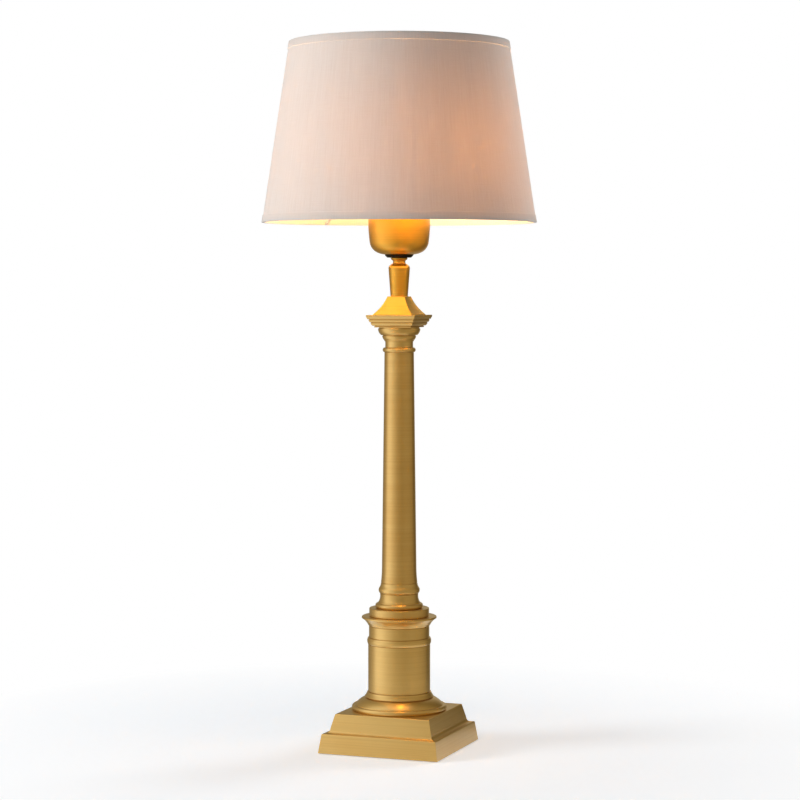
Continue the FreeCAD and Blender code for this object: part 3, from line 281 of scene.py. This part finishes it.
def cad_copy(node):
    """A CAD node's mesh as a bmesh, with its loose triangles joined."""
    shape = bmesh.new()
    shape.from_mesh(frame["nodes"][node].data)
    bmesh.ops.remove_doubles(shape, verts=shape.verts, dist=JOIN)
    return shape


def softened(node, finish, ease, body="lamp", segments=2, least_angle=25.0, slot=None, name=None):
    """A CAD node drawn again with its edges eased, in place of the node."""
    shape = cad_copy(node)
    bmesh.ops.dissolve_limit(shape, angle_limit=FLAT_WITHIN, verts=shape.verts, edges=shape.edges)
    sharp = [edge for edge in shape.edges
             if edge.is_manifold and edge.calc_face_angle(0) > math.radians(least_angle)]
    bmesh.ops.bevel(shape, geom=sharp, affect="EDGES", offset=ease, segments=segments, profile=0.5,
                    material=-1, clamp_overlap=True)
    bmesh.ops.recalc_face_normals(shape, faces=shape.faces)
    piece = drawn(shape, name or f"{node}_finished", finish)
    return settled(piece, body, slot or slots[node], node)


def settled(piece, body, slot, *nodes):
    """Puts a finished piece on its body, in place of these CAD nodes, with even shading."""
    even = piece.modifiers.new("even_shading", "WEIGHTED_NORMAL")
    even.keep_sharp = True
    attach(piece, body)
    if nodes:
        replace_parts(piece, *nodes)
    return piece


slots = {part["node"]: part["material_slot"] for part in frame["record"]["subparts"]}


def brushed(name, gap, smooth, bright, warm, aging):
    """Satin brass under clear lacquer, brushed along lines of equal distance as gap gives it. Its
    least roughness, its two colours, and how far it has aged from one to the other."""
    finish = Finish(name)
    x, y, z = finish.place()
    line = gap(x, y, z)
    strokes = finish.noise((x * 12.0, y * 12.0, line * 5200.0), 3.0, 0.7)
    scratches = finish.noise((x * 30.0, y * 30.0, line * 1500.0 + 40.0), 2.0, 0.6)
    bands = finish.noise((x * 7.0 + 5.0, y * 7.0, line * 95.0), 2.0, 0.55)
    rings = ((finish.noise((x * 3.0, y * 3.0, line * 620.0 + 70.0), 2.0, 0.7) - 0.42) * 3.5).clamped()
    clouds = finish.noise((x * 26.0, y * 26.0 + 9.0, z * 26.0), 2.0, 0.5)
    aged = ((bands * 0.6 + clouds * 0.4 - 0.32) * 2.2).clamped()
    colour = finish.mixed(aged * aging, bright, warm)
    dark = tuple(part * share for part, share in zip(warm, STROKE_DARK))
    colour = finish.mixed(strokes * 0.14 + rings * 0.16, colour, dark)
    rough = strokes * 0.10 + scratches * 0.08 + rings * 0.05 + aged * 0.05 + smooth
    normal = finish.bumped(strokes * 0.6 + scratches * 0.4 + rings * 0.6, 0.00004, 0.6)
    return finish.shown(finish.node("BsdfPrincipled", values={
        "Base Color": colour, "Metallic": 1.0, "Roughness": rough, "Normal": normal,
        "Anisotropic": 0.75, "Anisotropic Rotation": 0.25, "Coat Weight": 0.4, "Coat Roughness": 0.16}))


def across_square(x, y, z):
    """Grows up a square piece and out over its ledges, so strokes run along its sides."""
    return z + x.maths("ABSOLUTE").maths("MAXIMUM", y.maths("ABSOLUTE")) * 0.7


square_brass = brushed("square_brushed_brass", across_square, 0.22, BRASS, BRASS_WARM, 0.45)
softened("base_plinth", square_brass, PLINTH_EASE, segments=3, least_angle=20.0)


# Underside: a steel cover on four screws closes the plinth, a cast ballast plate is clamped in it
# by the rod's nut, and a pad of pressed felt is glued over the cover.
FELT_EASE = 0.0005


def plain(name, colour, roughness, metallic=0.0, grain=400.0, depth=0.00005, vary=0.12, **more):
    """A finish with fine grain and a little unevenness of colour."""
    finish = Finish(name)
    x, y, z = finish.place()
    fine = finish.noise((x * grain, y * grain, z * grain), 4.0, 0.6)
    broad = finish.noise((x * grain * 0.06, y * grain * 0.06, z * grain * 0.06), 2.0)
    darker = tuple(part * (1.0 - 2.0 * vary) for part in colour)
    return finish.shown(finish.node("BsdfPrincipled", values={
        "Base Color": finish.mixed(fine * 0.5 + broad * 0.5, colour, darker),
        "Metallic": metallic, "Roughness": broad * 0.15 + roughness,
        "Normal": finish.bumped(fine, depth), **more}))


zinc = plain("zinc_plated_steel", (0.66, 0.67, 0.68), 0.3, 1.0, 900.0, 0.00002)
iron = plain("cast_iron", (0.13, 0.125, 0.12), 0.6, 1.0, 700.0, 0.0003, 0.2)
felt = plain("pressed_felt", (0.035, 0.030, 0.027), 0.95, 0.0, 1800.0, 0.0005, 0.3)
for node, finish in {"base_cover": zinc, "cover_screws": zinc, "rod_washer": zinc, "base_weight": iron}.items():
    softened(node, finish, 0.0003)
felt_pad = softened("base_felt", felt, FELT_EASE, name="felt_pad")


# Cord gland: a moulded rubber sleeve pressed into the back wall, with a flange each side. The
# photo shows no cord, so its bore is empty.
rubber = plain("black_rubber", (0.022, 0.022, 0.022), 0.62, 0.0, 1500.0, 0.00008, 0.2)
softened("cord_gland", rubber, 0.0004, segments=3)


# Hollow rod: a steel tube threaded from end to end, with a nut at its foot and one in the cup,
# that clamps every piece of the column between them.
THREAD_PITCH = 0.001


def dressed(node, finish):
    """Gives a CAD node that stays in sight its finish."""
    for place in frame["nodes"][node].material_slots:
        place.material = finish.material


threaded_zinc = Finish("threaded_zinc")
x, y, z = threaded_zinc.place()
climb = z * (1.0 / THREAD_PITCH) + x.maths("ARCTAN2", y) * (0.5 / math.pi)
thread = climb.maths("FRACT").maths("PINGPONG", 0.5)
# the thread's roots are painted darker than its crests: painted shade in the grooves
threaded_zinc.shown(threaded_zinc.node("BsdfPrincipled", values={
    "Base Color": threaded_zinc.mixed(thread * 2.0, (0.30, 0.30, 0.30), (0.66, 0.67, 0.68)),
    "Metallic": 1.0, "Roughness": 0.34, "Normal": threaded_zinc.bumped(thread, 0.0006)}))
dressed("threaded_rod", threaded_zinc)
for node in ("rod_nut", "cup_nut"):
    softened(node, zinc, 0.0004)


# Pedestal: a spun foot with a bead and flare, a plain drum, a band and frieze, a cornice and a cap
# disc, each turned in brass, brushed in the lathe and lacquered. Their arrises are just eased.
ARRIS = 0.0003
TURNED_STEPS = 160


def half_section(node):
    """The right half of a turned CAD node's section in the front plane, as lines."""
    shape = cad_copy(node)
    for normal, one_plane_only in (((0, 1, 0), True), ((1, 0, 0), False)):
        bmesh.ops.bisect_plane(shape, geom=[*shape.verts, *shape.edges, *shape.faces], dist=JOIN,
                               plane_co=(0, 0, 0), plane_no=normal,
                               clear_inner=True, clear_outer=one_plane_only)
    bmesh.ops.dissolve_limit(shape, angle_limit=FLAT_WITHIN, verts=shape.verts, edges=shape.edges)
    return shape


def spun(shape, steps=TURNED_STEPS):
    """Spins lines once round the lamp's axis into a closed skin."""
    bmesh.ops.spin(shape, geom=[*shape.verts, *shape.edges], cent=(0, 0, 0), axis=(0, 0, 1),
                   dvec=(0, 0, 0), angle=math.tau, steps=steps, use_merge=True, use_duplicate=False)
    bmesh.ops.remove_doubles(shape, verts=shape.verts, dist=JOIN)
    bmesh.ops.recalc_face_normals(shape, faces=shape.faces)
    return shape


def turned(node, finish, arris=ARRIS, body="lamp", steps=TURNED_STEPS, shaping=None, name=None):
    """A turned CAD node drawn again, rounder and with its arrises eased, in place of the node."""
    shape = half_section(node)
    if shaping:
        shaping(shape)
    sharp = [corner for corner in shape.verts
             if len(corner.link_edges) == 2 and corner.calc_edge_angle(0) > math.radians(24)]
    if sharp and arris:
        bmesh.ops.bevel(shape, geom=sharp, affect="VERTICES", offset=arris, segments=3, profile=0.5,
                        material=-1, clamp_overlap=True)
    piece = drawn(spun(shape, steps), name or f"{node}_finished", finish)
    return settled(piece, body, slots[node], node)


def across_round(x, y, z):
    """Grows up a turned piece and out over its ledges, so strokes run round it."""
    return z + (x * x + y * y).maths("SQRT") * 0.7


turned_brass = brushed("turned_brushed_brass", across_round, 0.20, BRASS, BRASS_WARM, 0.5)
for node in ("pedestal_foot", "pedestal_drum", "drum_band", "pedestal_cornice", "cap_disc"):
    turned(node, turned_brass)


# Column: a moulded base of torus, scotia and ring, a tapering shaft spun over a bore, and a
# necking ring. The shaft's lacquer has warmed unevenly along its length.
shaft_brass = brushed("shaft_brushed_brass", across_round, 0.20, (0.78, 0.52, 0.18), (0.66, 0.36, 0.09), 0.7)
for node in ("column_base", "necking_ring"):
    turned(node, turned_brass)
turned("column_shaft", shaft_brass)


# Capital: a round echinus of two ovolos under a square moulded abacus, then a cap whose four
# hollow faces draw in to the candle neck. The square pieces are cast, and the cap's brass is painted
# yellower, as painted warm light from the bulb falling on it.
turned("capital", turned_brass)
softened("abacus", square_brass, 0.0003, least_angle=14.0)
# the cap's saturated yellow brass is painted warm light from the bulb
cap_glow_painted_brass = brushed("cap_brass_painted_glow", across_square, 0.36, (0.84, 0.58, 0.09), (0.74, 0.44, 0.05), 0.5)
softened("capital_cap", cap_glow_painted_brass, 0.0004, least_angle=30.0)


# Candle neck, its collar and a blackened steel washer carry the cup, a bowl spun from sheet brass
# round the lampholder. The neck, collar and cup are painted in an orange brass, as painted warm
# light from the bulb falling on them.
glow_painted_brass = brushed("cup_brass_painted_glow", across_round, 0.22, (0.84, 0.44, 0.05), (0.72, 0.34, 0.025), 0.6)
blackened = plain("blackened_steel", (0.030, 0.022, 0.017), 0.42, 1.0, 900.0, 0.00004, 0.2)
for node in ("candle_neck", "neck_collar"):
    turned(node, glow_painted_brass)
turned("cup_washer", blackened)
turned("cup", glow_painted_brass, arris=0.00035)


# Lampholder: a moulded cap and threaded barrel, a porcelain core with two terminal screws and a
# spring contact, and a pressed brass shell that the bulb screws into.
HOLDER_THREAD = {"radius": 0.0196, "foot": 0.5925, "top": 0.6042, "pitch": 0.0015, "depth": 0.0004}
EDISON_PITCH = 0.00362
EDISON_DEPTH = 0.0011
SHELL_WALL = 0.0004
SHELL_INSET = 0.00005


def threaded(shape):
    """Cuts fine thread rings into the barrel's outside line, where the shade's ring screws on."""
    thread = HOLDER_THREAD
    for height in (thread["foot"], thread["top"]):
        bmesh.ops.bisect_plane(shape, geom=[*shape.verts, *shape.edges], dist=JOIN, plane_co=(0, 0, height),
                               plane_no=(0, 0, 1))
    near = JOIN * 50
    outside = [edge for edge in shape.edges if all(
        abs(end.co.x - thread["radius"]) < near and thread["foot"] - near < end.co.z < thread["top"] + near
        for end in edge.verts)]
    rings = round((thread["top"] - thread["foot"]) / thread["pitch"])
    cuts = bmesh.ops.subdivide_edges(shape, edges=outside, cuts=2 * rings - 1)
    made = sorted((v for v in cuts["geom_inner"] if isinstance(v, bmesh.types.BMVert)), key=lambda v: v.co.z)
    for corner in made[::2]:
        corner.co.x -= thread["depth"]


def rolled_thread(crest, foot, top, name, finish):
    """A thin shell with a round screw thread: a wavy line that climbs one pitch as it goes round."""
    shape = bmesh.new()
    waves = math.ceil((top - foot) / EDISON_PITCH) + 2
    points = 10
    last = None
    for step in range(waves * points + 1):
        phase = math.tau * step / points
        corner = shape.verts.new((crest - EDISON_DEPTH / 2 * (1 - math.cos(phase)), 0,
                                  foot + EDISON_PITCH * (step / points - 1.5)))
        if last:
            shape.edges.new((last, corner))
        last = corner
    steps = 72
    bmesh.ops.spin(shape, geom=[*shape.verts, *shape.edges], cent=(0, 0, 0), axis=(0, 0, 1),
                   dvec=(0, 0, EDISON_PITCH / steps), angle=math.tau, steps=steps, use_merge=False,
                   use_duplicate=False)
    bmesh.ops.remove_doubles(shape, verts=shape.verts, dist=JOIN)
    for height, up in ((foot, True), (top, False)):
        bmesh.ops.bisect_plane(shape, geom=[*shape.verts, *shape.edges, *shape.faces], dist=JOIN,
                               plane_co=(0, 0, height), plane_no=(0, 0, 1), clear_inner=up, clear_outer=not up)
    bmesh.ops.recalc_face_normals(shape, faces=shape.faces)
    middle = shape.faces[:][0]
    if middle.normal.dot(Vector((*middle.calc_center_median().xy, 0))) < 0:
        bmesh.ops.reverse_faces(shape, faces=shape.faces)
    piece = drawn(shape, name, finish)
    wall = piece.modifiers.new("wall", "SOLIDIFY")
    wall.thickness = SHELL_WALL
    wall.offset = -1.0
    return piece


ivory_plastic = plain("ivory_plastic", (0.74, 0.71, 0.62), 0.3, 0.0, 2500.0, 0.00001, 0.04)
porcelain = plain("glazed_porcelain", (0.84, 0.83, 0.78), 0.12, 0.0, 500.0, 0.00002, 0.04)
contact_brass = plain("pressed_brass", (0.80, 0.62, 0.30), 0.24, 1.0, 1500.0, 0.00001, 0.12)
turned("holder_cap", ivory_plastic, arris=0.0005)
turned("holder_barrel", ivory_plastic, arris=0.0, shaping=threaded)
softened("holder_core", porcelain, 0.0003)
for node in ("holder_contact", "terminal_screws"):
    softened(node, contact_brass, 0.0001)
low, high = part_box("screw_shell")
shell = rolled_thread(high[0] - SHELL_INSET, low[2], high[2], "screw_shell_thread", contact_brass)
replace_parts(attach(shell, "lamp"), "screw_shell")


# Bulb: a frosted candle bulb with an Edison screw cap, soldered contact, black glass insulator,
# glass stem and glowing filament. Its light stands beside it, so the shade glows most on the right.
GLOW = (1.0, 0.45, 0.05)
BULB_WATTS = 1.3
BULB_LIGHT_PLACE = (0.0345, -0.0310, 0.642)
BULB_LIGHT_RADIUS = 0.016
aluminium = plain("rolled_aluminium", (0.76, 0.76, 0.74), 0.3, 1.0, 1200.0, 0.00002, 0.08)
black_glass = plain("black_glass", (0.012, 0.012, 0.014), 0.08, 0.0, 600.0, 0.00001, 0.1)
frosted = plain("frosted_glass", (0.95, 0.80, 0.55), 0.5, 0.0, 2000.0, 0.00001, 0.03,
                **{"Transmission Weight": 0.8, "Emission Color": (1.0, 0.55, 0.20, 1.0), "Emission Strength": 0.6})
clear_glass = plain("clear_glass", (0.96, 0.97, 0.96), 0.02, 0.0, 300.0, 0.00001, 0.02,
                    **{"Transmission Weight": 0.9})
hot_wire = plain("glowing_wire", (0.5, 0.48, 0.45), 0.4, 1.0, 2500.0, 0.00001, 0.1,
                 **{"Emission Color": (1.0, 0.55, 0.2, 1.0), "Emission Strength": 12.0})
low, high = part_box("bulb_cap")
cap = rolled_thread(high[0], low[2], high[2], "bulb_cap_thread", aluminium)
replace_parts(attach(cap, "bulb"), "bulb_cap")
turned("bulb_insulator", black_glass, body="bulb", steps=64)
turned("bulb_contact", aluminium, body="bulb_carriage", steps=48)
turned("bulb_glass", frosted, arris=0.0, body="bulb", steps=96).visible_shadow = False
turned("bulb_stem", clear_glass, arris=0.0, body="bulb", steps=64).visible_shadow = False
dressed("bulb_filament", hot_wire)
glow = bpy.data.lights.new("bulb_light", "POINT")
glow.energy = BULB_WATTS
glow.color = GLOW
glow.shadow_soft_size = BULB_LIGHT_RADIUS
bulb_light = bpy.data.objects.new("bulb_light", glow)
bulb_light.location = BULB_LIGHT_PLACE
bpy.context.scene.collection.objects.link(bulb_light)
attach(bulb_light, "bulb")


# Shade frame: a flat fitter ring on the lampholder, three wire spokes down to the lower rim's wire
# and a wire in the upper rim, all in ivory paint, with a weld at each end of a spoke.
SPOKE_TURNS = (25.0, 145.0, 265.0)
WELDS = [(0.0293, 0.59105, (0.0017, 0.0021, 0.0013)), (0.1468, 0.57835, (0.0016, 0.0019, 0.0012))]

painted_wire = plain("ivory_painted_steel", (0.72, 0.66, 0.54), 0.42, 0.0, 900.0, 0.00004, 0.08)
shape = bmesh.new()
for away, height, half_sizes in WELDS:
    for turn in SPOKE_TURNS:
        place = Matrix.Rotation(math.radians(turn), 4, "Z") @ Matrix.Translation((away, 0, height))
        bmesh.ops.create_icosphere(shape, subdivisions=3, radius=1.0,
                                   matrix=place @ Matrix.Diagonal((*half_sizes, 1.0)))
welds = drawn(shape, "spoke_welds", painted_wire)
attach(welds, "shade")
turned("fitter_ring", painted_wire, arris=0.0002, body="shade", steps=96)
for node in ("spoke_1", "spoke_2", "spoke_3", "bottom_ring_wire", "top_ring_wire"):
    dressed(node, painted_wire)


# Shade lining: a stiff translucent sheet rolled into a cone. It lets the bulb's light through to
# the cloth and shines warm inside.
CONE_STEPS = 192
LINING_THIN = 0.25

lining = Finish("translucent_lining")
x, y, z = lining.place()
mottle = lining.noise((x * 90.0, y * 90.0, z * 90.0), 3.0)
sheen = lining.node("BsdfPrincipled", values={
    "Base Color": lining.mixed(mottle, (0.90, 0.87, 0.78), (0.84, 0.80, 0.70)), "Roughness": 0.55})
through = lining.node("BsdfTranslucent", values={"Color": (0.9, 0.85, 0.72, 1.0)})
lining.shown(lining.node("MixShader", values={0: LINING_THIN, 1: sheen, 2: through}))
liner = turned("shade_liner", lining, arris=0.0, body="shade", steps=CONE_STEPS)
liner.visible_shadow = False


# Shade cover: cloth with upright slubs, wrapped round the lining. Its edges are hidden under
# strips of the same cloth that are turned over the wires. Lining and cloth let the bulb's light by.
CLOTH = (0.80, 0.79, 0.76)
CLOTH_SHADE = (0.72, 0.69, 0.65)
CLOTH_THROUGH = (0.85, 0.62, 0.5, 1.0)
CLOTH_THIN = 0.06
SHADE_MEAN_RADIUS = 0.135


def woven(name, colour, darker, upright, level, thin):
    """Cloth of fine crossed threads, with the given counts to a metre, that lets light through."""
    finish = Finish(name)
    x, y, z = finish.place()
    round_it = x.maths("ARCTAN2", y * -1.0) * SHADE_MEAN_RADIUS
    warp = finish.noise((round_it * upright, z * 36.0, 0.0), 2.0, 0.6)
    slubs = finish.noise((round_it * upright * 0.28, z * 9.0, 4.0), 2.0, 0.6)
    weft = finish.noise((round_it * 40.0, z * level, 9.0), 2.0, 0.6)
    threads = warp * 0.45 + weft * 0.3 + slubs * 0.25
    tone = ((threads - 0.36) * 3.2).clamped()
    face = finish.node("BsdfPrincipled", values={
        "Base Color": finish.mixed(tone, darker, colour), "Roughness": 0.85,
        "Sheen Weight": 0.25, "Sheen Roughness": 0.5, "Normal": finish.bumped(threads, 0.0005, 0.7)})
    back = finish.node("BsdfTranslucent", values={"Color": CLOTH_THROUGH})
    return finish.shown(finish.node("MixShader", values={0: thin, 1: face, 2: back}))


cloth = woven("slub_cloth", CLOTH, CLOTH_SHADE, 1700.0, 2300.0, CLOTH_THIN)
edging = woven("turned_cloth_edge", (0.80, 0.77, 0.73), (0.70, 0.67, 0.63), 2300.0, 2300.0, CLOTH_THIN)
cover = turned("shade_fabric", cloth, arris=0.0, body="shade", steps=CONE_STEPS, name="shade_cover")
cover.visible_shadow = False
for node in ("bottom_trim", "top_trim"):
    trim = turned(node, edging, arris=0.0002, body="shade", steps=CONE_STEPS)
    trim.visible_shadow = False


# Threaded ring: a moulded ring with a ribbed grip, screwed down the lampholder onto the fitter.
RIBS = 30
RIB_SIZE = (0.0010, 0.0013, 0.0062)
RIB_PLACE = (0.0236, 0.5976)
RIB_EASE = 0.0003

turned("shade_ring", ivory_plastic, arris=0.0004, body="ring", steps=96)
shape = bmesh.new()
for rib in range(RIBS):
    place = Matrix.Rotation(math.tau * rib / RIBS, 4, "Z") @ Matrix.Translation((RIB_PLACE[0], 0, RIB_PLACE[1]))
    bmesh.ops.create_cube(shape, size=1.0, matrix=place @ Matrix.Diagonal((*RIB_SIZE, 1.0)))
bmesh.ops.bevel(shape, geom=shape.edges[:], affect="EDGES", offset=RIB_EASE, segments=2, profile=0.5,
                material=-1)
ribs = drawn(shape, "ring_ribs", ivory_plastic)
settled(ribs, "ring", slots["shade_ring"])
